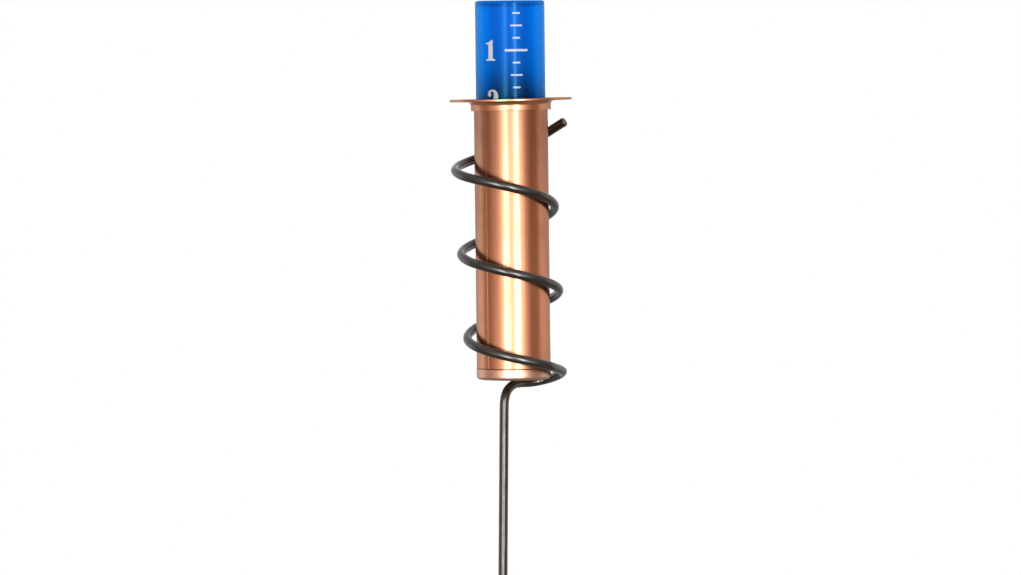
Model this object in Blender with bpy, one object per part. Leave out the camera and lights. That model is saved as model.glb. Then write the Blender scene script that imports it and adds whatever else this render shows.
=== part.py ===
"""Manual rain gauge: a float in a copper reservoir that stands in the spiral of a steel stake.

Metres, +Z up. The origin is on the stake's axis at the soil line, and -Y is the front, where the
float's scale is read. The reservoir and the float share an upright axis, and the stake leans a
degree to the side of it.
"""

import math

import bmesh
import bpy
from mathutils import Matrix, Vector
from mathutils.geometry import interpolate_bezier

# The reservoir: a copper tube with a shallow cap below and a hat-shaped collar on top.
GAP = 0.0003
ROUNDED_EDGE = 0.0003
AXIS_X = 0.0104
BASE_Z = 0.3000
RESERVOIR_HEIGHT = 0.1443
TUBE_RADIUS = 0.01905
TUBE_WALL = 0.0008
CAP_RADIUS = 0.01915
CAP_WALL = 0.0009
CAP_HEIGHT = 0.0056
CAP_CORNER = 0.0018
BRIM_RADIUS = 0.0315
BRIM_THICKNESS = 0.0012
SKIRT_WALL = 0.0013
SKIRT_DEPTH = 0.0048
SKIRT_FILLET = 0.0024

# The float: a closed plastic tube, its scale counted down from its top in inches.
INCH = 0.0254
READING = 2 * INCH
FLOAT_RADIUS = 0.0179
FLOAT_WALL = 0.0012
FLOAT_TOP = 0.0016
FLOAT_CORNER = 0.0014
FLOAT_LENGTH = 0.1425
PLUG_FLANGE = 0.0015
PLUG_DEPTH = 0.0060

# The spiral stake: one steel rod, wound left-handed round the reservoir and bent down below it.
ROD_RADIUS = 0.00238
COIL_RADIUS = 0.0239
COIL_GROWTH = 0.00045
COIL_PITCH = 0.0434
COIL_START_Z = 0.0008
COIL_SHIFT = 0.0016
COIL_LEAN = math.radians(2.9)
COIL_TIP_BACK = 0.0455
COIL_LEVEL_TURN = 0.5
COIL_CLOSING = 0.0009
COIL_FIRST_TURN = 0.12
COIL_LAST_TURN = 2.80
POINTS_PER_TURN = 44
END_POINT = Vector((0.0278, 0.0130, 0.1322))
END_DIRECTION = Vector((0.80, -0.37, 0.510)).normalized()
END_STRAIGHT = 0.0120
STAKE_TOP = Vector((-0.0052, 0.0, -0.0160))
STAKE_DEPTH = 0.1650
STRAIGHT_BELOW_CAP = 0.0215
POINT_LENGTH = 0.0120
POINT_RADIUS = 0.35

TURNED_STEPS = 72
CORNER_STEPS = 5
TAIL_STEPS = 4
ENDING_STEPS = 5
ROD_SIDES = 12
SHARP_ANGLE = math.radians(35)
MERGE_DISTANCE = 1e-7

COPPER = (0.78, 0.45, 0.32)
BLUE = (0.01, 0.20, 0.70)
STEEL = (0.09, 0.08, 0.075)


def clear_scene():
    for obj in list(bpy.data.objects):
        bpy.data.objects.remove(obj, do_unlink=True)


def material(name, colour, metallic, roughness, transmission=0.0):
    made = bpy.data.materials.new(name)
    made.use_nodes = True
    shader = made.node_tree.nodes["Principled BSDF"]
    shader.inputs["Base Color"].default_value = (*colour, 1.0)
    shader.inputs["Metallic"].default_value = metallic
    shader.inputs["Roughness"].default_value = roughness
    shader.inputs["Transmission Weight"].default_value = transmission
    return made


def arc(centre, radius, start, end):
    """Points on an arc in the plane of radius and height, from angle start to end in degrees."""
    angles = [start + (end - start) * step / CORNER_STEPS for step in range(CORNER_STEPS + 1)]
    turned = [math.radians(angle) for angle in angles]
    return [(centre[0] + radius * math.cos(a), centre[1] + radius * math.sin(a)) for a in turned]


def turned_piece(name, profile, finish, parent):
    """A solid of revolution: profile is a closed outline of (radius, height) points."""
    mesh = bpy.data.meshes.new(name)
    shape = bmesh.new()
    points = [shape.verts.new((radius, 0.0, height)) for radius, height in profile]
    edges = [shape.edges.new((a, b)) for a, b in zip(points, points[1:] + points[:1])]
    bmesh.ops.spin(
        shape,
        geom=points + edges,
        axis=(0.0, 0.0, 1.0),
        cent=(0.0, 0.0, 0.0),
        steps=TURNED_STEPS,
        angle=math.tau,
        use_merge=True,
    )
    bmesh.ops.remove_doubles(shape, verts=shape.verts, dist=MERGE_DISTANCE)
    bmesh.ops.dissolve_degenerate(shape, edges=shape.edges, dist=MERGE_DISTANCE)
    bmesh.ops.recalc_face_normals(shape, faces=shape.faces)
    shape.to_mesh(mesh)
    shape.free()
    mesh.shade_smooth()
    mesh.set_sharp_from_angle(angle=SHARP_ANGLE)
    mesh.materials.append(finish)
    piece = bpy.data.objects.new(name, mesh)
    bpy.context.scene.collection.objects.link(piece)
    piece.parent = parent
    return piece


def pivot(name, location, parent=None):
    """An empty on the axis of the pieces that hang from it."""
    empty = bpy.data.objects.new(name, None)
    empty.location = location
    empty.parent = parent
    bpy.context.scene.collection.objects.link(empty)
    return empty


def cap_profile():
    """A shallow cup with a rounded foot, whose rim meets the end of the tube."""
    inside = CAP_RADIUS - CAP_WALL
    foot = (CAP_RADIUS - CAP_CORNER, CAP_CORNER)
    outer = [(0.0, 0.0)] + arc(foot, CAP_CORNER, -90, 0) + [(CAP_RADIUS, CAP_HEIGHT)]
    inner = [(inside, CAP_HEIGHT)] + arc(foot, CAP_CORNER - CAP_WALL, 0, -90) + [(0.0, CAP_WALL)]
    return outer + inner


def tube_profile():
    bottom = CAP_HEIGHT + GAP
    top = RESERVOIR_HEIGHT - BRIM_THICKNESS - GAP
    inside = TUBE_RADIUS - TUBE_WALL
    return [(TUBE_RADIUS, bottom), (TUBE_RADIUS, top), (inside, top), (inside, bottom)]


def collar_profile():
    """A hat: a flat brim that covers the tube's end, and a skirt that slips over the tube."""
    top = RESERVOIR_HEIGHT
    under = top - BRIM_THICKNESS
    hole = TUBE_RADIUS - TUBE_WALL
    skirt_inside = TUBE_RADIUS + GAP
    skirt_outside = skirt_inside + SKIRT_WALL
    foot = under - SKIRT_DEPTH
    edge = BRIM_RADIUS - ROUNDED_EDGE
    outer = arc((edge, top - ROUNDED_EDGE), ROUNDED_EDGE, 90, 0)
    outer += arc((edge, under + ROUNDED_EDGE), ROUNDED_EDGE, 0, -90)
    outer += arc((skirt_outside + SKIRT_FILLET, under - SKIRT_FILLET), SKIRT_FILLET, 90, 180)
    inner = [(skirt_outside, foot), (skirt_inside, foot), (skirt_inside, under), (hole, under)]
    return outer + inner + arc((hole + ROUNDED_EDGE, top - ROUNDED_EDGE), ROUNDED_EDGE, 180, 90)


def float_tube_profile():
    """A tube closed at its top and open below, its corner rounded outside."""
    inside = FLOAT_RADIUS - FLOAT_WALL
    bottom = PLUG_FLANGE + GAP
    roof = FLOAT_LENGTH - FLOAT_TOP
    shoulder = (FLOAT_RADIUS - FLOAT_CORNER, FLOAT_LENGTH - FLOAT_CORNER)
    outer = [(0.0, FLOAT_LENGTH)] + arc(shoulder, FLOAT_CORNER, 90, 0) + [(FLOAT_RADIUS, bottom)]
    return outer + [(inside, bottom), (inside, roof), (0.0, roof)]


def plug_profile():
    """A stopper: a flange the size of the tube, and a spigot that closes its bore."""
    spigot = FLOAT_RADIUS - FLOAT_WALL - GAP
    rim = FLOAT_RADIUS - ROUNDED_EDGE
    outer = [(0.0, PLUG_DEPTH), (spigot, PLUG_DEPTH), (spigot, PLUG_FLANGE), (rim, PLUG_FLANGE)]
    return outer + arc((rim, ROUNDED_EDGE), ROUNDED_EDGE, 0, -90) + [(0.0, 0.0)]


def coil_point(turn):
    """The rod's centre, so many turns up from the right-hand side of the lowest turn."""
    angle = -math.tau * turn
    radius = COIL_RADIUS + COIL_GROWTH * turn
    x = radius * math.cos(angle)
    y = radius * math.sin(angle)
    tip_back = COIL_TIP_BACK * (turn - COIL_LEVEL_TURN)
    closing = COIL_CLOSING * max(0.0, 1.0 - 2.0 * turn)
    z = COIL_PITCH * turn - tip_back * y + closing
    leaned = Matrix.Rotation(-COIL_LEAN, 3, "Y") @ Vector((x, y, z))
    return leaned + Vector((COIL_SHIFT, 0.0, COIL_START_Z))


def tail_points():
    """From the stake up: the bend, then the run under the cap to the spiral's lowest turn."""
    return [
        STAKE_TOP,
        Vector((-0.0049, 0.0004, -0.0108)),
        Vector((-0.0035, 0.0025, -0.0063)),
        Vector((-0.0004, 0.0068, -0.0034)),
        Vector((0.0032, 0.0116, -0.00278)),
        Vector((0.0090, 0.0163, -0.00275)),
        Vector((0.0164, 0.0168, -0.0014)),
        Vector((0.0224, 0.0104, 0.0009)),
        Vector((0.0250, 0.0010, 0.0037)),
    ]


def stake_point(height):
    """The stake's centre at a height, on the line from its top through the origin at the soil line."""
    soil = Vector((-AXIS_X, 0.0, -BASE_Z))
    share = (height - soil.z) / (STAKE_TOP.z - soil.z)
    return soil.lerp(STAKE_TOP, share)


def smooth_run(points, steps):
    """A curve through the points, each stretch a Bezier whose tangents follow its neighbours."""
    run = []
    for index in range(1, len(points) - 2):
        before, start, end, after = points[index - 1 : index + 3]
        first = start + (end - before) / 6
        second = end - (after - start) / 6
        run += interpolate_bezier(start, first, second, end, steps + 1)[:-1]
    return run + [points[-2]]


def rod_points():
    """The rod's centreline from the tip of the stake to the cut end of the spiral."""
    count = round((COIL_LAST_TURN - COIL_FIRST_TURN) * POINTS_PER_TURN)
    span = COIL_LAST_TURN - COIL_FIRST_TURN
    coil = [coil_point(COIL_FIRST_TURN + span * step / count) for step in range(count + 1)]
    foot = -BASE_Z - STAKE_DEPTH
    straight = stake_point(-STRAIGHT_BELOW_CAP)
    tail = smooth_run([straight] + tail_points() + coil[:2], TAIL_STEPS)
    stake = [stake_point(foot), stake_point(foot + POINT_LENGTH)]
    straight_start = END_POINT - END_DIRECTION * END_STRAIGHT
    ending = smooth_run([coil[-2], coil[-1], straight_start, END_POINT], ENDING_STEPS)
    return stake + tail + coil[1:-1] + ending + [END_POINT]


def spiral_stake(finish, parent):
    curve = bpy.data.curves.new("spiral_stake", "CURVE")
    curve.dimensions = "3D"
    curve.bevel_depth = ROD_RADIUS
    curve.bevel_resolution = (ROD_SIDES - 4) // 2
    curve.use_fill_caps = True
    curve.twist_mode = "MINIMUM"
    points = rod_points()
    spline = curve.splines.new("POLY")
    spline.points.add(len(points) - 1)
    for target, place in zip(spline.points, points):
        target.co = (*place, 1.0)
    spline.points[0].radius = POINT_RADIUS
    spline.use_smooth = True
    curve.materials.append(finish)
    rod = bpy.data.objects.new("spiral_stake", curve)
    bpy.context.scene.collection.objects.link(rod)
    rod.parent = parent
    return rod


def main():
    clear_scene()
    copper = material("copper", COPPER, 1.0, 0.28)
    plastic = material("blue_plastic", BLUE, 0.0, 0.12, 0.7)
    steel = material("waxed_steel", STEEL, 1.0, 0.38)
    stake_axis = pivot("stake_frame", (AXIS_X, 0.0, BASE_Z))
    reservoir_axis = pivot("reservoir_frame", (AXIS_X, 0.0, BASE_Z))
    float_base = RESERVOIR_HEIGHT + READING - FLOAT_LENGTH
    float_axis = pivot("float_frame", (0.0, 0.0, float_base), reservoir_axis)
    spiral_stake(steel, stake_axis)
    turned_piece("bottom_cap", cap_profile(), copper, reservoir_axis)
    turned_piece("reservoir_tube", tube_profile(), copper, reservoir_axis)
    turned_piece("collar", collar_profile(), copper, reservoir_axis)
    turned_piece("float_tube", float_tube_profile(), plastic, float_axis)
    turned_piece("float_plug", plug_profile(), plastic, float_axis)


main()
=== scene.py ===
"""A manual rain gauge: a copper reservoir stands in a steel rod wound into a spiral, and a blue float
rises out of it.

Metres. The copper pieces and the rod are made about the reservoir's axis with its foot at height 0,
and the float's pieces and marks about the same axis with the float's foot at height 0. Each is then
put in its place in the frame.
"""

import math

import bmesh
import bpy
from mathutils import Matrix, Vector, noise
from mathutils.geometry import interpolate_bezier, tessellate_polygon


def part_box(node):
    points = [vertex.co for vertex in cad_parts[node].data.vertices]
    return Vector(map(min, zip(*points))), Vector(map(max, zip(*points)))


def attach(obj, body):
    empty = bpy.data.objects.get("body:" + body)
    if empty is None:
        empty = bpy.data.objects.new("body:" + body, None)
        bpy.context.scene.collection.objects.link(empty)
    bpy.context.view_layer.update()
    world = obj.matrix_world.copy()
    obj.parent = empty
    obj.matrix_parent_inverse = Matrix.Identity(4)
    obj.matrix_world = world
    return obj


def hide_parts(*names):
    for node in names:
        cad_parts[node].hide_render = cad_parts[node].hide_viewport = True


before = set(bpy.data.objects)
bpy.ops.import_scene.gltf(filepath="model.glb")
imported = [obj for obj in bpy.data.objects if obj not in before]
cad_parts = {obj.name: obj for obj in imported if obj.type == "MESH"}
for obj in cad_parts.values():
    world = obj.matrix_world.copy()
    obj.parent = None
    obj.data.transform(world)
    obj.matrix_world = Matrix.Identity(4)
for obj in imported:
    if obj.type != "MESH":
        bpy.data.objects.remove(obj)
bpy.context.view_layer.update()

tube_low, tube_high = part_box("reservoir_tube")
cap_low, cap_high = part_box("bottom_cap")
collar_low, collar_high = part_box("collar")
float_low, float_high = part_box("float_tube")
plug_low, plug_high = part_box("float_plug")
rod_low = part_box("spiral_stake")[0]

INCH = 0.0254
GAP = 0.0003
EDGE_EASE = 0.00012

# The reservoir. The brim is a hair narrower than its CAD solid because it leans.
AXIS_X = round((tube_low.x + tube_high.x) / 2, 5)
BASE_Z = round(cap_low.z, 5)
TUBE_RADIUS = round((tube_high.x - tube_low.x) / 2, 5)
TUBE_WALL = 0.0008
RESERVOIR_HEIGHT = 0.1443
TUBE_CORNER = 0.00015
TUBE_STRETCHES = 48
TUBE_WAVE = 0.000014
SEAM_ANGLE = math.radians(-43.0)
SEAM_DEPTH = 0.00010
SEAM_WIDTH = math.radians(0.55)
SEAM_REACH = 2.2
CAP_RADIUS = round((cap_high.x - cap_low.x) / 2, 5)
CAP_WALL = 0.0009
CAP_CORNER = 0.0018
CAP_WAVE = 0.00002
BRIM_RADIUS = round((collar_high.x - collar_low.x) / 2, 5) - 0.00002
BRIM_THICKNESS = 0.0012
BRIM_EDGE = 0.0003
SKIRT_WALL = 0.0013
SKIRT_DEPTH = 0.0048
SKIRT_FILLET = 0.0024
COLLAR_RAISED = 0.00030
COLLAR_LEAN_SIDEWAYS = math.radians(-0.78)
COLLAR_LEAN_BACK = math.radians(-0.7)

# The float.
FLOAT_RADIUS = round((float_high.x - float_low.x) / 2, 5)
FLOAT_WALL = 0.0012
FLOAT_TOP = 0.0016
FLOAT_CORNER = 0.0014
FLOAT_INNER_CORNER = 0.0016
PLUG_FLANGE = 0.0015

# The rod: a left-handed spiral, the stake below it and the straight end above it, all measured from
# the reservoir's axis and foot.
ROD_RADIUS = 0.00238
COIL_RADIUS = 0.0239
COIL_GROWTH = 0.00045
COIL_PITCH = 0.0434
COIL_START_Z = 0.0008
COIL_SHIFT = 0.0016
COIL_LEAN = math.radians(2.9)
COIL_TIP_BACK = 0.0455
COIL_LEVEL_TURN = 0.5
COIL_CLOSING = 0.0009
COIL_FIRST_TURN = 0.12
COIL_LAST_TURN = 2.80
COIL_STRETCHES = 118
COIL_STEPS = 6
END_POINT = Vector((0.0278, 0.0130, 0.1322))
END_DIRECTION = Vector((0.80, -0.37, 0.510)).normalized()
END_STRAIGHT = 0.0120
STAKE_TOP = Vector((-0.0052, 0.0, -0.0160))
STRAIGHT_BELOW_CAP = 0.0215
FOOT_CLEARANCE = 0.00003
POINT_LENGTH = 0.0120
POINT_RADIUS = 0.35
TAIL_STEPS = 24
ENDING_STEPS = 40
CUT_CHAMFER = 0.0004
ROD_WAVE = 0.00002
ROD_INSET = 0.00001

ROD_SPACING = 0.0012
ROD_SIDES = 36
TURNED_STEPS = 240
ON_AXIS = 1e-6
MERGE_DISTANCE = 1e-7
SQUARE_CORNER = math.radians(150)
SHARP_ANGLE = math.radians(40)
ROD_SHARP_ANGLE = math.radians(32)

# The scale's printed marks.
INK_HEIGHT = 0.00012
INK_CLEARANCE = 0.00002
INK_SLICE = 0.0004
SLICE_DISTANCE = 1e-8
OUTLINE_STEPS = 5
TICKS_PER_INCH = 4
TICK_COUNT = 20
TICK_ANGLE = math.radians(10.4)
TICK_WIDTHS = {1: 0.0040, 2: 0.0062, 3: 0.0040, 0: 0.0122}
WHOLE_TICK_THICKNESS = 0.00120
PART_TICK_THICKNESS = 0.00090
NUMERAL_ANGLES = {1: -34.5, 2: -30.5, 3: -30.5, 4: -30.5, 5: -30.5}
NUMERAL_HEIGHT = 0.0106

# The heights between which the copper tube's colour is darkened more and more towards its top: a painted
# shade for the dimmer light up there.
PAINTED_SHADE_START = 0.045
PAINTED_SHADE_FULL = 0.140

# How far above the brim the float's colour is darkened, a painted shade for the reservoir's dark inside,
# its levels at shares of that, and how much less of it there is at the float's sides.
PAINTED_SHADE_REACH = 0.050
PAINTED_SHADE_LESS_AT_SIDES = 0.6
PAINTED_SHADE_LEVELS = (
    (0.0, 0.18),
    (0.03, 0.24),
    (0.07, 0.34),
    (0.13, 0.47),
    (0.20, 0.60),
    (0.30, 0.77),
    (0.42, 0.87),
    (0.65, 0.95),
    (0.85, 1.0),
)

# The float's bore is frosted: how far outside it the gloss starts and is full, the same for how far
# below the top, and the paler lid.
BORE_FROST = (0.0002, 0.0005)
TOP_FROST = (0.0011, 0.0008)
LID = (0.0018, 0.0013)

# The studio's ring: azimuth from the camera's side in degrees, level, and warmth from 0 to 1.
RING = (
    (-180, 0.36, 0.0),
    (-177, 0.80, 0.0),
    (-168, 0.80, 0.0),
    (-163, 0.36, 0.0),
    (-110, 0.76, 0.0),
    (-97, 0.35, 0.6),
    (-76, 0.31, 1.0),
    (-64, 0.50, 0.8),
    (-50, 0.73, 0.4),
    (-38, 0.90, 0.2),
    (-29, 2.20, 0.0),
    (-23, 3.40, 0.0),
    (-20, 5.60, 0.0),
    (-14, 5.60, 0.0),
    (-11, 3.20, 0.0),
    (-5, 1.40, 0.0),
    (1, 1.40, 0.0),
    (5, 2.60, 0.0),
    (11, 3.00, 0.0),
    (13, 9.50, 0.0),
    (18, 9.50, 0.0),
    (21, 2.60, 0.0),
    (32, 1.40, 0.1),
    (42, 0.74, 0.5),
    (58, 0.29, 1.0),
    (84, 0.28, 1.0),
    (97, 0.66, 0.4),
    (163, 0.36, 0.0),
    (168, 0.80, 0.0),
    (177, 0.80, 0.0),
    (180, 0.36, 0.0),
)
WARM_GREEN = 0.26
WARM_BLUE = 0.42

# The steepness, as a direction's z, at which the ring starts to give way to the floor and ceiling
# and is gone; their levels; and the steepness within which one turns into the other.
RING_FADE = (0.20, 0.48)
FLOOR_LEVEL = 0.20
CEILING_LEVEL = 0.42
POLE_TURN = 0.2

# How far round to the back, as a direction's y, the backlight starts and is full, and its level.
BACKLIGHT = (0.72, 0.84)
BACKLIGHT_LEVEL = 2.1

# The floor turns white between two distances from the gauge, from one share of white to the other.
FLOOR_RADIUS = 2.0
FLOOR_FADE = (0.2, 1.5)
FLOOR_WHITE = (0.62, 1.0)

CAMERA_TARGET = Vector((0.0092, 0.0, 0.3472))
CAMERA_ELEVATION = math.radians(2.56)
CAMERA_ROLL = math.radians(0.65)
CAMERA_DISTANCE = 4.0
CAMERA_LENS = 273.6
CAMERA_SENSOR = 36.0


# ---------------------------------------------------------------- node helpers


def add(tree, kind, inputs=None, **settings):
    """A shader node with its settings, and its inputs set or linked."""
    node = tree.nodes.new("ShaderNode" + kind)
    for name, value in settings.items():
        setattr(node, name, value)
    for name, value in (inputs or {}).items():
        if isinstance(value, bpy.types.NodeSocket):
            tree.links.new(value, node.inputs[name])
        else:
            node.inputs[name].default_value = value
    return node


def maths(tree, operation, first, second=0.0, third=0.0):
    """The result of a Math node."""
    inputs = {0: first, 1: second, 2: third}
    return add(tree, "Math", inputs, operation=operation).outputs[0]


def grain(tree, place, scale, detail=3.0, rough=0.5, distortion=0.0):
    """Noise with so many cells per metre on each axis."""
    mapped = add(tree, "Mapping", {"Vector": place, "Scale": scale})
    inputs = {
        "Vector": mapped.outputs["Vector"],
        "Scale": 1.0,
        "Detail": detail,
        "Roughness": rough,
        "Distortion": distortion,
    }
    return add(tree, "TexNoise", inputs).outputs[0]


def ranged(tree, value, low, high, from_low, from_high, **settings):
    """value's place between from_low and from_high, as a number from low to high, clamped."""
    inputs = {0: value, 1: from_low, 2: from_high, 3: low, 4: high}
    return add(tree, "MapRange", inputs, **settings).outputs[0]


def span(tree, value, low, high, from_low=0.3, from_high=0.7):
    """A noise's usual range as low to high, clamped."""
    return ranged(tree, value, low, high, from_low, from_high)


def ramp(tree, value, levels):
    """The colour at value on a colour ramp of (place, colour) pairs."""
    node = add(tree, "ValToRGB", {"Fac": value})
    elements = node.color_ramp.elements
    while len(elements) > 1:
        elements.remove(elements[-1])
    for index, (place, colour) in enumerate(levels):
        element = elements[0] if index == 0 else elements.new(place)
        element.color = (*colour, 1.0)
    return node.outputs["Color"]


def axis_of(tree, vector, axis):
    """One number of a vector: 0 for x, 1 for y, 2 for z."""
    return add(tree, "SeparateXYZ", {0: vector}).outputs[axis]


def blend_colours(tree, factor, first, second, how="MIX"):
    """Two colours mixed, or joined in another way, by a factor that is a number or a socket."""
    node = tree.nodes.new("ShaderNodeMix")
    node.data_type = "RGBA"
    node.blend_type = how
    for socket, value in ((node.inputs[0], factor), (node.inputs[6], first), (node.inputs[7], second)):
        if isinstance(value, bpy.types.NodeSocket):
            tree.links.new(value, socket)
        else:
            socket.default_value = value if isinstance(value, float) else (*value, 1.0)
    return node.outputs[2]


def new_material(name):
    """A new material, its node tree and its shader."""
    made = bpy.data.materials.new(name)
    made.use_nodes = True
    tree = made.node_tree
    return made, tree, tree.nodes["Principled BSDF"]


def set_inputs(tree, shader, values):
    """The shader's inputs set, or linked where the value is a socket."""
    for name, value in values.items():
        if isinstance(value, bpy.types.NodeSocket):
            tree.links.new(value, shader.inputs[name])
        else:
            shader.inputs[name].default_value = value


def bumped(tree, height, distance, normal=None):
    """A normal with so high a bump on it."""
    inputs = {"Height": height, "Distance": distance, "Strength": 1.0}
    if normal is not None:
        inputs["Normal"] = normal
    return add(tree, "Bump", inputs).outputs["Normal"]


def object_place(tree):
    """The point on the surface, in the piece's own axes."""
    return add(tree, "TexCoord").outputs["Object"]


# ---------------------------------------------------------------- materials


def copper_material(name, turned_marks=False, painted_shade_heights=None, satin=0.0, pale=0.0):
    """Satin copper with the streaks that drawing, or turning, leaves, and a thin uneven tarnish.
    The heights given for the painted shade are where the colour starts to be darkened and where it is
    fully darkened, more so upwards, for dimmer light higher up; satin is roughness added all over, and
    pale is how far the colour goes towards fresh copper."""
    made, tree, shader = new_material(name)
    place = object_place(tree)
    if turned_marks:
        turned_place = {0: radius_of(tree, place), 1: 0.0, 2: axis_of(tree, place, 2)}
        marks = add(tree, "CombineXYZ", turned_place).outputs[0]
        fine = grain(tree, marks, (4200.0, 1.0, 4200.0), 2.0)
        wide = grain(tree, marks, (900.0, 1.0, 900.0), 3.0)
    else:
        fine = grain(tree, place, (2400.0, 2400.0, 12.0), 2.0)
        wide = grain(tree, place, (520.0, 520.0, 5.0), 4.0, 0.6)
    cloud = grain(tree, place, (70.0, 70.0, 45.0), 5.0, 0.62, 0.6)
    fleck = grain(tree, place, (900.0, 900.0, 900.0), 3.0, 0.6)
    streaked = blend_colours(tree, span(tree, wide, 0.0, 1.0), (0.93, 0.455, 0.275), (0.85, 0.350, 0.195))
    fresh = blend_colours(tree, pale, streaked, (1.0, 0.620, 0.470))
    aged = blend_colours(tree, span(tree, cloud, 0.0, 0.42, 0.45, 0.75), fresh, (0.68, 0.265, 0.130))
    spotted = blend_colours(tree, span(tree, fleck, 0.0, 0.35, 0.64, 0.74), aged, (0.42, 0.150, 0.075))
    # Painted shade: the colour is darkened more and more up the piece, for dimmer light towards its top.
    if painted_shade_heights:
        shade_height = maths(tree, "ADD", axis_of(tree, place, 2), span(tree, cloud, -0.012, 0.012))
        share = ranged(tree, shade_height, 0.0, 1.0, *painted_shade_heights)
        top_shaded = blend_colours(tree, 1.0, spotted, (0.70, 0.68, 0.68), "MULTIPLY")
        spotted = blend_colours(tree, share, spotted, top_shaded)
    rough = maths(tree, "ADD", span(tree, fine, 0.13 + satin, 0.24 + satin), span(tree, cloud, 0.0, 0.10))
    normal = bumped(tree, wide, 0.000012, bumped(tree, fine, 0.0000022))
    set_inputs(
        tree,
        shader,
        {"Base Color": spotted, "Metallic": 1.0, "Roughness": rough, "Normal": normal},
    )
    return made


def steel_material():
    """Dark, waxed, hot-rolled rod: scale in streaks along its length, and a few rubbed spots."""
    made, tree, shader = new_material("dark_steel_rod")
    place = add(tree, "Attribute", attribute_name="straight").outputs["Vector"]
    streak = grain(tree, place, (1500.0, 1500.0, 70.0), 4.0, 0.6)
    mottle = grain(tree, place, (420.0, 420.0, 160.0), 5.0, 0.65, 0.4)
    pits = grain(tree, place, (3200.0, 3200.0, 1600.0), 2.0)
    streaks = span(tree, streak, 0.0, 1.0)
    scale = blend_colours(tree, streaks, (0.050, 0.042, 0.036), (0.112, 0.099, 0.088))
    rubbed = blend_colours(tree, span(tree, mottle, 0.0, 0.75, 0.50, 0.72), scale, (0.026, 0.020, 0.016))
    rough = maths(tree, "ADD", span(tree, streak, 0.15, 0.26), span(tree, mottle, 0.0, 0.14))
    normal = bumped(tree, streak, 0.00003, bumped(tree, pits, 0.000006))
    set_inputs(
        tree,
        shader,
        {
            "Base Color": rubbed,
            "Metallic": 1.0,
            "Roughness": rough,
            "Coat Weight": 1.0,
            "Coat Roughness": 0.12,
            "Coat IOR": 1.70,
            "Normal": normal,
            "Coat Normal": bumped(tree, streak, 0.000018),
        },
    )
    return made


def radius_of(tree, place):
    """How far a point is from the piece's own upright axis."""
    flat = add(tree, "VectorMath", {0: place, 1: (1.0, 1.0, 0.0)}, operation="MULTIPLY").outputs[0]
    return add(tree, "VectorMath", {0: flat}, operation="LENGTH").outputs["Value"]


def blue_material(inner, top, brim):
    """Clear blue plastic tube: glossy outside with faint extrusion lines, and frosted within its bore,
    which is what lies inside the inner radius and below the top. Its colour is paler towards its sides
    across its own x axis, a painted light for the glow at a clear tube's edges, and darker towards the
    reservoir, a painted shade for the reservoir's dark inside:
    brim is the collar and the height of its rim above its origin."""
    made, tree, shader = new_material("clear_blue_plastic")
    place = object_place(tree)
    lines = grain(tree, place, (1400.0, 1400.0, 6.0), 3.0)
    haze = grain(tree, place, (90.0, 90.0, 60.0), 4.0, 0.6)
    colour = blend_colours(tree, span(tree, haze, 0.0, 1.0), (0.0, 0.262, 0.635), (0.0, 0.240, 0.600))
    height = axis_of(tree, place, 2)
    beyond = ranged(tree, radius_of(tree, place), 0.0, 1.0, inner + BORE_FROST[0], inner + BORE_FROST[1])
    above = ranged(tree, height, 0.0, 1.0, top - TOP_FROST[0], top - TOP_FROST[1])
    outside = maths(tree, "MAXIMUM", beyond, above)
    gloss = span(tree, haze, 0.05, 0.11)
    rough = ranged(tree, outside, 0.62, gloss, 0.0, 1.0)
    lid = ranged(tree, height, 0.0, 1.0, top - LID[0], top - LID[1])
    # Painted light: the colour paler towards the float's sides across its own x axis, for the glow at a
    # clear tube's edges.
    aside = maths(tree, "ABSOLUTE", axis_of(tree, place, 0))
    side = ranged(tree, aside, 0.0, 1.0, 0.42 * inner, inner, interpolation_type="SMOOTHSTEP")
    edge_lit = blend_colours(tree, side, colour, (0.0, 0.430, 0.860))
    lidded = blend_colours(tree, lid, edge_lit, (0.0, 0.400, 0.950))
    # Painted shade: the colour darkened towards the collar's rim, for the reservoir's dark inside, and
    # less so at the float's sides.
    from_collar = add(tree, "TexCoord", object=brim[0]).outputs["Object"]
    over_rim = maths(tree, "SUBTRACT", axis_of(tree, from_collar, 2), brim[1])
    reach = maths(tree, "ADD", over_rim, span(tree, haze, -0.0015, 0.0015))
    levels = [(share, (level,) * 3) for share, level in PAINTED_SHADE_LEVELS]
    light = ramp(tree, maths(tree, "MULTIPLY", reach, 1.0 / PAINTED_SHADE_REACH), levels)
    brim_shade_full = blend_colours(tree, 1.0, lidded, light, "MULTIPLY")
    brim_shaded = blend_colours(tree, maths(tree, "MULTIPLY", side, PAINTED_SHADE_LESS_AT_SIDES), brim_shade_full, lidded)
    set_inputs(
        tree,
        shader,
        {
            "Base Color": brim_shaded,
            "Metallic": 0.0,
            "Roughness": rough,
            "IOR": 1.25,
            "Specular Tint": (0.4, 2.0, 4.0, 1.0),
            "Sheen Weight": 1.0,
            "Sheen Roughness": 0.35,
            "Sheen Tint": (0.0, 0.40, 1.0, 1.0),
            "Transmission Weight": 1.0,
            "Normal": bumped(tree, lines, 0.0000015),
        },
    )
    return made


def print_material(name, first, second):
    """Screen-printed ink, a little uneven and rubbed."""
    made, tree, shader = new_material(name)
    place = object_place(tree)
    patch = grain(tree, place, (700.0, 700.0, 500.0), 4.0, 0.6)
    speck = grain(tree, place, (2600.0, 2600.0, 2600.0), 2.0)
    colour = blend_colours(tree, span(tree, patch, 0.0, 1.0), first, second)
    rough = span(tree, speck, 0.28, 0.48)
    set_inputs(
        tree,
        shader,
        {
            "Base Color": colour,
            "Roughness": rough,
            "Normal": bumped(tree, speck, 0.000008),
            "Specular IOR Level": 0.5,
        },
    )
    return made


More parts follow.
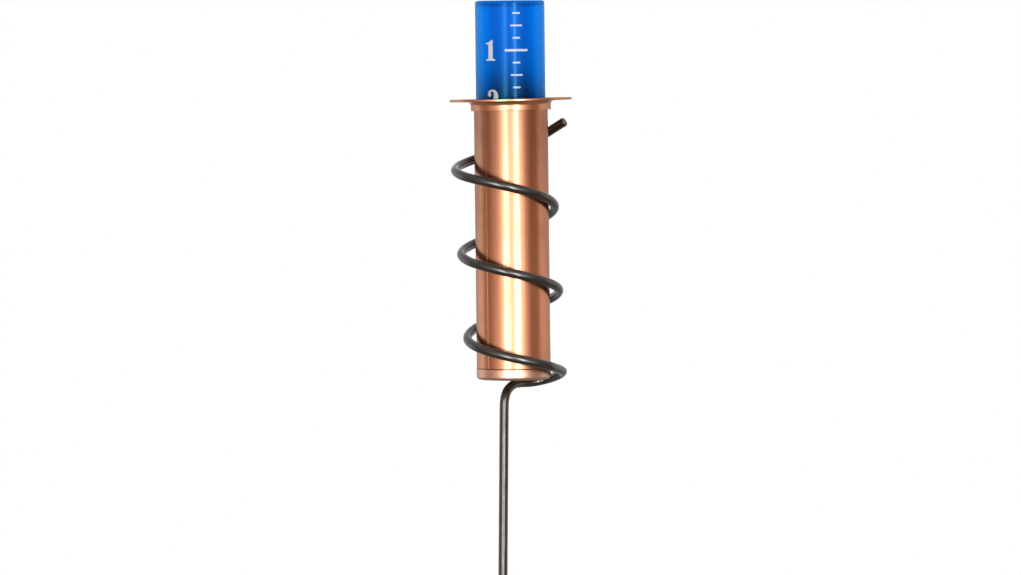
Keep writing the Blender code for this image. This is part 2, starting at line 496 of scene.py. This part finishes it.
def floor_material():
    """Pale matt floor that fades into the white beyond it."""
    made, tree, shader = new_material("pale_floor")
    place = object_place(tree)
    cloud = grain(tree, place, (9.0, 9.0, 9.0), 4.0)
    dust = grain(tree, place, (400.0, 400.0, 400.0), 3.0)
    colour = blend_colours(tree, span(tree, cloud, 0.0, 1.0), (0.74, 0.74, 0.735), (0.71, 0.71, 0.705))
    set_inputs(
        tree,
        shader,
        {
            "Base Color": colour,
            "Roughness": span(tree, dust, 0.55, 0.7),
            "Normal": bumped(tree, dust, 0.00004),
            "Specular IOR Level": 0.2,
        },
    )
    white = add(tree, "Emission", {"Color": (1.0, 1.0, 1.0, 1.0), "Strength": 1.0}).outputs[0]
    away = radius_of(tree, place)
    fade = ranged(tree, away, *FLOOR_WHITE, *FLOOR_FADE, interpolation_type="SMOOTHERSTEP")
    both = add(tree, "MixShader", {0: fade, 1: shader.outputs[0], 2: white}).outputs[0]
    tree.links.new(both, tree.nodes["Material Output"].inputs["Surface"])
    return made


# ---------------------------------------------------------------- shapes


def put(name, mesh, material, body, node=None, place=(0.0, 0.0, 0.0)):
    """A finished piece on its body, in place of a CAD node if one is named."""
    mesh.materials.append(material)
    piece = bpy.data.objects.new(name, mesh)
    piece.location = place
    bpy.context.scene.collection.objects.link(piece)
    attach(piece, body)
    if node:
        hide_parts(node)
    return piece


def arc(centre, radius, start, end, steps=8):
    """Points on an arc in the plane of radius and height, from angle start to end in degrees."""
    turned = [math.radians(start + (end - start) * step / steps) for step in range(steps + 1)]
    return [(centre[0] + radius * math.cos(a), centre[1] + radius * math.sin(a)) for a in turned]


def eased(profile):
    """The closed profile with each square corner cut by a small arc, as a deburred edge."""
    ease = EDGE_EASE
    made = []
    for index, here in enumerate(profile):
        before = Vector(profile[index - 1])
        after = Vector(profile[(index + 1) % len(profile)])
        corner = Vector(here)
        if here[0] < ON_AXIS:
            made.append(here)
            continue
        back, on = before - corner, after - corner
        turn = back.angle(on, math.pi)
        if turn > SQUARE_CORNER or min(back.length, on.length) < 3 * ease:
            made.append(here)
            continue
        first, last = corner + back.normalized() * ease, corner + on.normalized() * ease
        middle = (first + last) / 4 + corner / 2
        made += [tuple(first), tuple(middle), tuple(last)]
    return made


def wall(low, high, radius, stretches):
    """Points up a straight wall, so that it can carry a slight waviness."""
    return [(radius, low + (high - low) * step / stretches) for step in range(stretches + 1)]


def finished_mesh(name, shape, sharp_angle):
    """The bmesh as a mesh, smooth apart from edges that turn by more than an angle."""
    mesh = bpy.data.meshes.new(name)
    shape.to_mesh(mesh)
    shape.free()
    mesh.shade_smooth()
    mesh.set_sharp_from_angle(angle=sharp_angle)
    return mesh


def turned_mesh(name, profile, angles=None, shift=None):
    """A solid of revolution of a closed profile of (radius, height), its radius moved by
    shift(angle, radius, height)."""
    angles = angles or [math.tau * step / TURNED_STEPS for step in range(TURNED_STEPS)]
    shape = bmesh.new()
    rings = []
    for angle in angles:
        ring = []
        for radius, height in profile:
            r = radius + (shift(angle, radius, height) if shift and radius > ON_AXIS else 0.0)
            ring.append(shape.verts.new((r * math.sin(angle), -r * math.cos(angle), height)))
        rings.append(ring)
    for index, ring in enumerate(rings):
        following = rings[(index + 1) % len(rings)]
        for step in range(len(profile)):
            onward = (step + 1) % len(profile)
            if profile[step][0] < ON_AXIS and profile[onward][0] < ON_AXIS:
                continue
            shape.faces.new((ring[step], following[step], following[onward], ring[onward]))
    bmesh.ops.remove_doubles(shape, verts=shape.verts, dist=MERGE_DISTANCE)
    bmesh.ops.dissolve_degenerate(shape, edges=shape.edges, dist=MERGE_DISTANCE)
    bmesh.ops.recalc_face_normals(shape, faces=shape.faces)
    return finished_mesh(name, shape, SHARP_ANGLE)


def tube_angles():
    """Even steps round the tube, and close ones across the seam."""
    even = [math.tau * step / TURNED_STEPS for step in range(TURNED_STEPS)]
    middle = SEAM_ANGLE % math.tau
    clear = [angle for angle in even if abs(angle - middle) > SEAM_REACH * SEAM_WIDTH]
    close = [middle + SEAM_WIDTH * step / 3 for step in range(-6, 7)]
    return sorted(clear + close)


def tube_shift(angle, radius, height):
    """A faint waviness, and the seam's line on the outside, which fades towards the top."""
    around = Vector((math.cos(angle) * 1.6, math.sin(angle) * 1.6, height * 22.0))
    wave = TUBE_WAVE * noise.noise(around)
    if radius < TUBE_RADIUS - TUBE_WALL / 2:
        return wave
    away = (angle - SEAM_ANGLE % math.tau) / SEAM_WIDTH
    share = max(0.0, min(1.0, 1.5 - 1.3 * height / RESERVOIR_HEIGHT))
    return wave - SEAM_DEPTH * share * math.exp(-away * away * 1.5)


def tube_profile():
    """A plain tube, its rims a little blunt."""
    low, high = tube_low.z - BASE_Z, tube_high.z - BASE_Z
    inside = TUBE_RADIUS - TUBE_WALL
    corner = TUBE_CORNER
    outside = wall(low + corner, high - corner, TUBE_RADIUS, TUBE_STRETCHES)
    rim = [(TUBE_RADIUS - corner, high), (inside + corner, high)]
    return [(TUBE_RADIUS - corner, low)] + outside + rim + [(inside, high - corner), (inside, low)]


def cap_profile():
    """A shallow cup with a rounded foot."""
    height = cap_high.z - BASE_Z
    inside = CAP_RADIUS - CAP_WALL
    foot = (CAP_RADIUS - CAP_CORNER, CAP_CORNER)
    outer = [(0.0, 0.0), (foot[0] * 0.5, 0.0)] + arc(foot, CAP_CORNER, -90, 0) + [(CAP_RADIUS, height)]
    inner = [(inside, height)] + arc(foot, CAP_CORNER - CAP_WALL, 0, -90) + [(0.0, CAP_WALL)]
    return eased(outer + inner)


def cap_shift(angle, radius, height):
    """A drawn cup's slight unevenness, none at its middle."""
    around = Vector((math.cos(angle) * 2.2, math.sin(angle) * 2.2, height * 60.0 + 7.0))
    return CAP_WAVE * noise.noise(around) * radius / CAP_RADIUS


def collar_profile():
    """A hat: a flat brim with a hole, and a skirt below it, with a fillet between them."""
    top = collar_high.z - BASE_Z
    under = top - BRIM_THICKNESS
    hole = TUBE_RADIUS - TUBE_WALL
    skirt_inside = TUBE_RADIUS + GAP
    skirt_outside = skirt_inside + SKIRT_WALL
    foot = under - SKIRT_DEPTH
    edge = BRIM_RADIUS - BRIM_EDGE
    outer = arc((edge, top - BRIM_EDGE), BRIM_EDGE, 90, 0)
    outer += arc((edge, under + BRIM_EDGE), BRIM_EDGE, 0, -90)
    outer += arc((skirt_outside + SKIRT_FILLET, under - SKIRT_FILLET), SKIRT_FILLET, 90, 180)
    inner = [(skirt_outside, foot), (skirt_inside, foot), (skirt_inside, under), (hole, under)]
    return eased(outer + inner + arc((hole + BRIM_EDGE, top - BRIM_EDGE), BRIM_EDGE, 180, 90))


def collar_seat():
    """How the collar was soldered on: a hair high, and a degree out of square with the tube."""
    rim = Matrix.Translation((0.0, 0.0, collar_high.z - BASE_Z))
    lean = Matrix.Rotation(COLLAR_LEAN_SIDEWAYS, 4, "Y") @ Matrix.Rotation(COLLAR_LEAN_BACK, 4, "X")
    return Matrix.Translation((0.0, 0.0, COLLAR_RAISED)) @ rim @ lean @ rim.inverted()


def float_tube_profile():
    """A tube with a closed, rounded top and an open foot."""
    base = plug_low.z
    length = float_high.z - base
    inside = FLOAT_RADIUS - FLOAT_WALL
    bottom = float_low.z - base
    roof = length - FLOAT_TOP
    shoulder = (FLOAT_RADIUS - FLOAT_CORNER, length - FLOAT_CORNER)
    outer = [(0.0, length), (shoulder[0] * 0.6, length)] + arc(shoulder, FLOAT_CORNER, 90, 0, 10)
    corner = FLOAT_INNER_CORNER
    inner = arc((inside - corner, roof - corner), corner, 0, 90, 6)
    return eased(outer + [(FLOAT_RADIUS, bottom), (inside, bottom)] + inner + [(0.0, roof)])


def plug_profile():
    """A stopper: a spigot inside the float, and a flange under its foot."""
    spigot = FLOAT_RADIUS - FLOAT_WALL - GAP
    rim = FLOAT_RADIUS - BRIM_EDGE
    depth = plug_high.z - plug_low.z
    outer = [(0.0, depth), (spigot, depth), (spigot, PLUG_FLANGE), (rim, PLUG_FLANGE)]
    return eased(outer + arc((rim, BRIM_EDGE), BRIM_EDGE, 0, -90) + [(0.0, 0.0)])


def coil_point(turn):
    """The rod's centre, so many turns up from the right-hand side of the lowest turn."""
    angle = -math.tau * turn
    radius = COIL_RADIUS + COIL_GROWTH * turn
    x = radius * math.cos(angle)
    y = radius * math.sin(angle)
    tip_back = COIL_TIP_BACK * (turn - COIL_LEVEL_TURN)
    closing = COIL_CLOSING * max(0.0, 1.0 - 2.0 * turn)
    z = COIL_PITCH * turn - tip_back * y + closing
    leaned = Matrix.Rotation(-COIL_LEAN, 3, "Y") @ Vector((x, y, z))
    return leaned + Vector((COIL_SHIFT, 0.0, COIL_START_Z))


def tail_points():
    """From the stake up: the bend, then the run under the cap to the spiral's lowest turn."""
    return [
        STAKE_TOP,
        Vector((-0.0049, 0.0004, -0.0108)),
        Vector((-0.0035, 0.0025, -0.0063)),
        Vector((-0.0004, 0.0068, -0.0034)),
        Vector((0.0032, 0.0116, -0.00278)),
        Vector((0.0090, 0.0163, -0.00275)),
        Vector((0.0164, 0.0168, -0.0014)),
        Vector((0.0224, 0.0104, 0.0009)),
        Vector((0.0250, 0.0010, 0.0037)),
    ]


def stake_point(height):
    """The stake's centre at a height, on the line from its top through the origin at the soil line."""
    soil = Vector((-AXIS_X, 0.0, -BASE_Z))
    share = (height - soil.z) / (STAKE_TOP.z - soil.z)
    return soil.lerp(STAKE_TOP, share)


def smooth_run(points, steps):
    """A curve through the points, each stretch a Bezier whose tangents follow its neighbours."""
    run = []
    for index in range(1, len(points) - 2):
        before, start, end, after = points[index - 1 : index + 3]
        first = start + (end - before) / 6
        second = end - (after - start) / 6
        run += interpolate_bezier(start, first, second, end, steps + 1)[:-1]
    return run + [points[-2]]


def rod_path():
    """The rod's centreline from the tip of the stake to the cut end of the spiral, at even spacing."""
    turns = COIL_LAST_TURN - COIL_FIRST_TURN
    stretch = turns / COIL_STRETCHES
    ends = [COIL_FIRST_TURN, COIL_FIRST_TURN + stretch, COIL_LAST_TURN - stretch, COIL_LAST_TURN]
    first, second, before_last, last = [coil_point(turn) for turn in ends]
    count = COIL_STRETCHES * COIL_STEPS
    coil = [coil_point(COIL_FIRST_TURN + turns * step / count) for step in range(count + 1)]
    straight = stake_point(-STRAIGHT_BELOW_CAP)
    tail = smooth_run([straight] + tail_points() + [first, second], TAIL_STEPS)
    foot = stake_point(rod_low.z - BASE_Z + FOOT_CLEARANCE)
    straight_start = END_POINT - END_DIRECTION * END_STRAIGHT
    ending = smooth_run([before_last, last, straight_start, END_POINT], ENDING_STEPS)
    return evenly([foot] + tail + coil[1:-1] + ending + [END_POINT], ROD_SPACING)


def evenly(points, spacing):
    """The same line as points about spacing apart."""
    lengths = [0.0]
    for a, b in zip(points, points[1:]):
        lengths.append(lengths[-1] + (b - a).length)
    count = round(lengths[-1] / spacing)
    made, at = [], 0
    for step in range(count + 1):
        target = lengths[-1] * step / count
        while at < len(points) - 2 and lengths[at + 1] < target:
            at += 1
        share = (target - lengths[at]) / (lengths[at + 1] - lengths[at])
        made.append(points[at].lerp(points[at + 1], share))
    return made


def rod_rings(points):
    """For each ring of the rod its centre, two directions across it, its distance from the rod's
    point, and its radius. The directions are carried along without twist."""
    tangents = []
    for index in range(len(points)):
        before, after = points[max(index - 1, 0)], points[min(index + 1, len(points) - 1)]
        tangents.append((after - before).normalized())
    side = Vector((1.0, 0.0, 0.0))
    rings, length = [], 0.0
    for index, (point, along) in enumerate(zip(points, tangents)):
        if index:
            length += (point - points[index - 1]).length
        side = (side - along * side.dot(along)).normalized()
        taper = POINT_RADIUS + (1.0 - POINT_RADIUS) * min(1.0, length / POINT_LENGTH)
        rings.append((point, side.copy(), along.cross(side), length, ROD_RADIUS * taper))
    return rings


def rod_mesh():
    """The whole rod, uneven by a hair. Its attribute "straight" holds where each point would be if the
    rod were straight, for the streaks along it."""
    rings = rod_rings(rod_path())
    point, side, other, length, radius = rings[-1]
    back = (point - rings[-2][0]).normalized() * CUT_CHAMFER
    rings[-1] = (point - back, side, other, length - CUT_CHAMFER, radius)
    rings.append((point, side, other, length, radius - CUT_CHAMFER * 0.8))
    shape = bmesh.new()
    layer = shape.verts.layers.float_vector.new("straight")
    made = []
    for point, side, other, length, radius in rings:
        ring = []
        for step in range(ROD_SIDES):
            angle = math.tau * step / ROD_SIDES
            lane = Vector((math.cos(angle), math.sin(angle), 0.0))
            dent = ROD_WAVE * noise.noise(Vector((lane.x * 1.4, lane.y * 1.4, length * 90.0)))
            reach = radius + dent - ROD_INSET
            vertex = shape.verts.new(point + (side * lane.x + other * lane.y) * reach)
            vertex[layer] = lane * ROD_RADIUS + Vector((0.0, 0.0, length))
            ring.append(vertex)
        made.append(ring)
    for first, second in zip(made, made[1:]):
        for step in range(ROD_SIDES):
            onward = (step + 1) % ROD_SIDES
            shape.faces.new((first[step], first[onward], second[onward], second[step]))
    for ring, centre in ((made[0], rings[0][0]), (made[-1], rings[-1][0])):
        middle = shape.verts.new(centre)
        middle[layer] = Vector((0.0, 0.0, ring[0][layer].z))
        for step in range(ROD_SIDES):
            shape.faces.new((ring[step], ring[(step + 1) % ROD_SIDES], middle))
    bmesh.ops.recalc_face_normals(shape, faces=shape.faces)
    return finished_mesh("spiral_rod", shape, ROD_SHARP_ANGLE)


# ---------------------------------------------------------------- the scale's marks

# Each outline is a list of runs from corner to corner, in units of a numeral's height.
NUMERALS = {
    1: [
        [
            [(0.06, 0.0), (0.56, 0.0)],
            [(0.56, 0.0), (0.56, 0.07)],
            [(0.56, 0.07), (0.47, 0.09), (0.43, 0.15)],
            [(0.43, 0.15), (0.43, 1.0)],
            [(0.43, 1.0), (0.36, 1.0)],
            [(0.36, 1.0), (0.22, 0.90), (0.04, 0.86)],
            [(0.04, 0.86), (0.04, 0.79)],
            [(0.04, 0.79), (0.19, 0.79)],
            [(0.19, 0.79), (0.19, 0.15)],
            [(0.19, 0.15), (0.15, 0.09), (0.06, 0.07)],
            [(0.06, 0.07), (0.06, 0.0)],
        ]
    ],
    2: [
        [
            [(0.02, 0.0), (0.60, 0.0)],
            [(0.60, 0.0), (0.63, 0.27)],
            [(0.63, 0.27), (0.57, 0.27)],
            [(0.57, 0.27), (0.54, 0.20), (0.46, 0.18), (0.27, 0.18)],
            [
                (0.27, 0.18),
                (0.41, 0.31),
                (0.55, 0.47),
                (0.61, 0.66),
                (0.57, 0.84),
                (0.46, 0.96),
                (0.30, 1.0),
                (0.13, 0.95),
                (0.04, 0.83),
                (0.045, 0.71),
                (0.12, 0.645),
                (0.20, 0.67),
                (0.235, 0.75),
                (0.20, 0.83),
                (0.22, 0.90),
                (0.29, 0.92),
                (0.36, 0.85),
                (0.38, 0.70),
                (0.34, 0.52),
                (0.21, 0.29),
                (0.02, 0.09),
            ],
            [(0.02, 0.09), (0.02, 0.0)],
        ]
    ],
    3: [
        [
            [
                (0.42, 0.545),
                (0.54, 0.47),
                (0.61, 0.34),
                (0.59, 0.16),
                (0.48, 0.03),
                (0.29, -0.01),
                (0.12, 0.03),
                (0.03, 0.14),
                (0.04, 0.25),
                (0.12, 0.295),
                (0.20, 0.26),
                (0.225, 0.18),
                (0.20, 0.11),
                (0.23, 0.06),
                (0.30, 0.06),
                (0.37, 0.13),
                (0.39, 0.28),
                (0.35, 0.43),
                (0.26, 0.50),
                (0.17, 0.505),
            ],
            [(0.17, 0.505), (0.17, 0.565)],
            [
                (0.17, 0.565),
                (0.27, 0.585),
                (0.34, 0.66),
                (0.36, 0.78),
                (0.33, 0.89),
                (0.27, 0.93),
                (0.21, 0.91),
                (0.19, 0.86),
                (0.22, 0.80),
                (0.20, 0.73),
                (0.13, 0.70),
                (0.06, 0.73),
                (0.04, 0.82),
                (0.10, 0.94),
                (0.24, 1.0),
                (0.43, 0.98),
                (0.55, 0.88),
                (0.56, 0.72),
                (0.50, 0.61),
                (0.42, 0.545),
            ],
        ]
    ],
    4: [
        [
            [(0.51, 1.0), (0.51, 0.36)],
            [(0.51, 0.36), (0.63, 0.36)],
            [(0.63, 0.36), (0.63, 0.24)],
            [(0.63, 0.24), (0.51, 0.24)],
            [(0.51, 0.24), (0.51, 0.13)],
            [(0.51, 0.13), (0.54, 0.08), (0.62, 0.06)],
            [(0.62, 0.06), (0.62, 0.0)],
            [(0.62, 0.0), (0.20, 0.0)],
            [(0.20, 0.0), (0.20, 0.06)],
            [(0.20, 0.06), (0.27, 0.08), (0.30, 0.13)],
            [(0.30, 0.13), (0.30, 0.24)],
            [(0.30, 0.24), (0.0, 0.24)],
            [(0.0, 0.24), (0.0, 0.34)],
            [(0.0, 0.34), (0.42, 1.0)],
            [(0.42, 1.0), (0.51, 1.0)],
        ],
        [
            [(0.30, 0.36), (0.30, 0.74)],
            [(0.30, 0.74), (0.07, 0.36)],
            [(0.07, 0.36), (0.30, 0.36)],
        ],
    ],
    5: [
        [
            [(0.12, 0.99), (0.55, 0.99)],
            [(0.55, 0.99), (0.52, 0.82)],
            [(0.52, 0.82), (0.20, 0.82)],
            [(0.20, 0.82), (0.185, 0.655)],
            [
                (0.185, 0.655),
                (0.34, 0.68),
                (0.50, 0.60),
                (0.59, 0.45),
                (0.59, 0.24),
                (0.49, 0.07),
                (0.29, -0.01),
                (0.12, 0.02),
                (0.03, 0.12),
                (0.04, 0.23),
                (0.12, 0.28),
                (0.20, 0.25),
                (0.23, 0.17),
                (0.21, 0.10),
                (0.25, 0.06),
                (0.32, 0.08),
                (0.38, 0.18),
                (0.39, 0.34),
                (0.35, 0.49),
                (0.26, 0.56),
                (0.16, 0.54),
                (0.11, 0.49),
            ],
            [(0.11, 0.49), (0.075, 0.51)],
            [(0.075, 0.51), (0.12, 0.99)],
        ]
    ],
}


def outline_points(runs, size):
    """One closed outline from its runs, smooth between the corners."""
    points = []
    for run in runs:
        flat = [Vector((x * size, y * size, 0.0)) for x, y in run]
        if len(flat) == 2:
            points.append(flat[0])
            continue
        before, after = 2 * flat[0] - flat[1], 2 * flat[-1] - flat[-2]
        points += smooth_run([before] + flat + [after], OUTLINE_STEPS)[:-1]
    return points


def tick_outline(width, height):
    """A bar with rounded ends."""
    half, end = width / 2 - height / 2, height / 2
    turns = [math.radians(-90 + 180 * step / 8) for step in range(9)]
    right = [Vector((half + end * math.cos(a), end * math.sin(a), 0.0)) for a in turns]
    return right + [Vector((-p.x, -p.y, 0.0)) for p in right]


def mark_mesh(name, outlines, angle, height):
    """The outlines as a thin skin of ink bent round the float, its middle at that angle and height."""
    flat = bmesh.new()
    points = [point for outline in outlines for point in outline]
    corners = [flat.verts.new(point) for point in points]
    for triangle in tessellate_polygon(outlines):
        if len(set(triangle)) == 3:
            flat.faces.new([corners[index] for index in triangle])
    left, right = min(p.x for p in points), max(p.x for p in points)
    slices = max(2, round((right - left) / INK_SLICE))
    for step in range(1, slices):
        bmesh.ops.bisect_plane(
            flat,
            geom=flat.verts[:] + flat.edges[:] + flat.faces[:],
            plane_co=(left + (right - left) * step / slices, 0.0, 0.0),
            plane_no=(1.0, 0.0, 0.0),
            dist=SLICE_DISTANCE,
        )
    for face in flat.faces:
        if face.normal.z < 0:
            face.normal_flip()
    made = bmesh.ops.extrude_face_region(flat, geom=flat.faces[:], use_keep_orig=True)
    outer = {item for item in made["geom"] if isinstance(item, bmesh.types.BMVert)}
    for vertex in flat.verts:
        turn = angle + vertex.co.x / FLOAT_RADIUS
        radius = FLOAT_RADIUS + (INK_HEIGHT if vertex in outer else INK_CLEARANCE)
        vertex.co = (radius * math.sin(turn), -radius * math.cos(turn), height + vertex.co.y)
    bmesh.ops.recalc_face_normals(flat, faces=flat.faces)
    return finished_mesh(name, flat, SHARP_ANGLE)


def centred(outlines):
    """The outlines with the middle of their box at the origin."""
    every = [point for outline in outlines for point in outline]
    middle = Vector(
        (
            (min(p.x for p in every) + max(p.x for p in every)) / 2,
            (min(p.y for p in every) + max(p.y for p in every)) / 2,
            0.0,
        )
    )
    return [[point - middle for point in outline] for outline in outlines]


def make_scale(ink, numeral_ink, place):
    """A tick every quarter inch down from the float's top, and a numeral at each whole inch."""
    length = float_high.z - plug_low.z
    for tick in range(1, TICK_COUNT + 1):
        inches, rest = divmod(tick, TICKS_PER_INCH)
        thickness = PART_TICK_THICKNESS if rest else WHOLE_TICK_THICKNESS
        name = f"tick_{inches}_{rest * 25:02d}_in"
        outline = [tick_outline(TICK_WIDTHS[rest], thickness)]
        mesh = mark_mesh(name, outline, TICK_ANGLE, length - tick * INCH / TICKS_PER_INCH)
        put(name, mesh, ink, "float", None, place)
    for digit, runs in NUMERALS.items():
        outlines = centred([outline_points(outline, NUMERAL_HEIGHT) for outline in runs])
        angle = math.radians(NUMERAL_ANGLES[digit])
        mesh = mark_mesh(f"numeral_{digit}", outlines, angle, length - digit * INCH)
        put(f"numeral_{digit}", mesh, numeral_ink, "float", None, place)


# ---------------------------------------------------------------- the studio


def world_light():
    """White where the camera looks past the gauge. For all else a ring of soft panels and grey walls,
    a dim floor and ceiling, and a backlight that only shows through plastic."""
    world = bpy.data.worlds.new("studio")
    bpy.context.scene.world = world
    world.use_nodes = True
    tree = world.node_tree
    tree.nodes.clear()
    direction = add(tree, "TexCoord").outputs["Generated"]
    split = add(tree, "SeparateXYZ", {0: direction}).outputs
    forward = maths(tree, "MULTIPLY", split[1], -1.0)
    azimuth = maths(tree, "ARCTAN2", split[0], forward)
    share = maths(tree, "MULTIPLY_ADD", azimuth, 1.0 / math.tau, 0.5)
    levels = []
    for angle, level, warmth in RING:
        colour = (level, level * (1 - WARM_GREEN * warmth), level * (1 - WARM_BLUE * warmth))
        levels.append(((angle + 180) / 360, colour))
    ring = ramp(tree, share, levels)
    rise = maths(tree, "ABSOLUTE", split[2])
    away = ranged(tree, rise, 0.0, 1.0, *RING_FADE, interpolation_type="SMOOTHSTEP")
    pole = ranged(tree, split[2], FLOOR_LEVEL, CEILING_LEVEL, -POLE_TURN, POLE_TURN)
    path = add(tree, "LightPath").outputs
    behind = ranged(tree, split[1], 0.0, 1.0, *BACKLIGHT)
    through = maths(tree, "MULTIPLY", path["Is Transmission Ray"], behind)
    backed = blend_colours(tree, through, ring, (BACKLIGHT_LEVEL,) * 3)
    room = blend_colours(tree, away, backed, pole)
    light = add(tree, "Background", {"Color": room, "Strength": 1.0}).outputs[0]
    plain = add(tree, "Background", {"Color": (1.0, 1.0, 1.0, 1.0), "Strength": 1.0}).outputs[0]
    both = add(tree, "MixShader", {0: path["Is Camera Ray"], 1: light, 2: plain}).outputs[0]
    out = add(tree, "OutputWorld")
    tree.links.new(both, out.inputs["Surface"])


def make_floor():
    """A pale disc at the soil line, with the rod going down through it."""
    shape = bmesh.new()
    bmesh.ops.create_circle(shape, cap_ends=True, radius=FLOOR_RADIUS, segments=128)
    mesh = bpy.data.meshes.new("floor")
    shape.to_mesh(mesh)
    shape.free()
    mesh.materials.append(floor_material())
    floor = bpy.data.objects.new("floor", mesh)
    floor.visible_glossy = False
    bpy.context.scene.collection.objects.link(floor)


def make_camera():
    """A long lens, a little above the gauge's middle and a little out of level."""
    back = Vector((0.0, -math.cos(CAMERA_ELEVATION), math.sin(CAMERA_ELEVATION)))
    data = bpy.data.cameras.new("camera")
    data.sensor_width = CAMERA_SENSOR
    data.lens = CAMERA_LENS
    data.clip_start, data.clip_end = 0.1, 100.0
    camera = bpy.data.objects.new("camera", data)
    camera.location = CAMERA_TARGET + back * CAMERA_DISTANCE
    level = (-back).to_track_quat("-Z", "Y")
    camera.rotation_mode = "QUATERNION"
    camera.rotation_quaternion = level @ Matrix.Rotation(-CAMERA_ROLL, 3, "Z").to_quaternion()
    bpy.context.scene.collection.objects.link(camera)
    bpy.context.scene.camera = camera


def main():
    """The camera and the studio, then the reservoir, the float and the rod."""
    bpy.context.scene.view_settings.view_transform = "Standard"
    make_camera()
    world_light()
    make_floor()

    reservoir_axis = (AXIS_X, 0.0, BASE_Z)
    drawn = copper_material("drawn_copper", painted_shade_heights=(PAINTED_SHADE_START, PAINTED_SHADE_FULL))
    turned = copper_material("turned_copper", turned_marks=True)
    tube = turned_mesh("copper_tube", tube_profile(), tube_angles(), tube_shift)
    put("copper_tube", tube, drawn, "reservoir", "reservoir_tube", reservoir_axis)
    spun = copper_material("spun_copper", satin=0.12, pale=0.8)
    cap = turned_mesh("copper_bottom_cap", cap_profile(), None, cap_shift)
    put("copper_bottom_cap", cap, spun, "reservoir", "bottom_cap", reservoir_axis)
    collar = turned_mesh("copper_collar", collar_profile())
    collar.transform(collar_seat())
    brim = put("copper_collar", collar, turned, "reservoir", "collar", reservoir_axis)

    float_axis = (AXIS_X, 0.0, plug_low.z)
    float_length = float_high.z - plug_low.z
    rim_height = collar_high.z - BASE_Z
    blue = blue_material(FLOAT_RADIUS - FLOAT_WALL, float_length, (brim, rim_height))
    body = turned_mesh("blue_float", float_tube_profile())
    put("blue_float", body, blue, "float", "float_tube", float_axis)
    plug = turned_mesh("blue_float_stopper", plug_profile())
    put("blue_float_stopper", plug, blue, "float", "float_plug", float_axis)
    ink = print_material("white_ink", (0.52, 0.62, 0.76), (0.45, 0.56, 0.70))
    numeral_ink = print_material("pale_ink", (0.62, 0.66, 0.70), (0.46, 0.51, 0.57))
    make_scale(ink, numeral_ink, float_axis)

    rod = rod_mesh()
    put("spiral_rod", rod, steel_material(), "stake", "spiral_stake", reservoir_axis)


main()
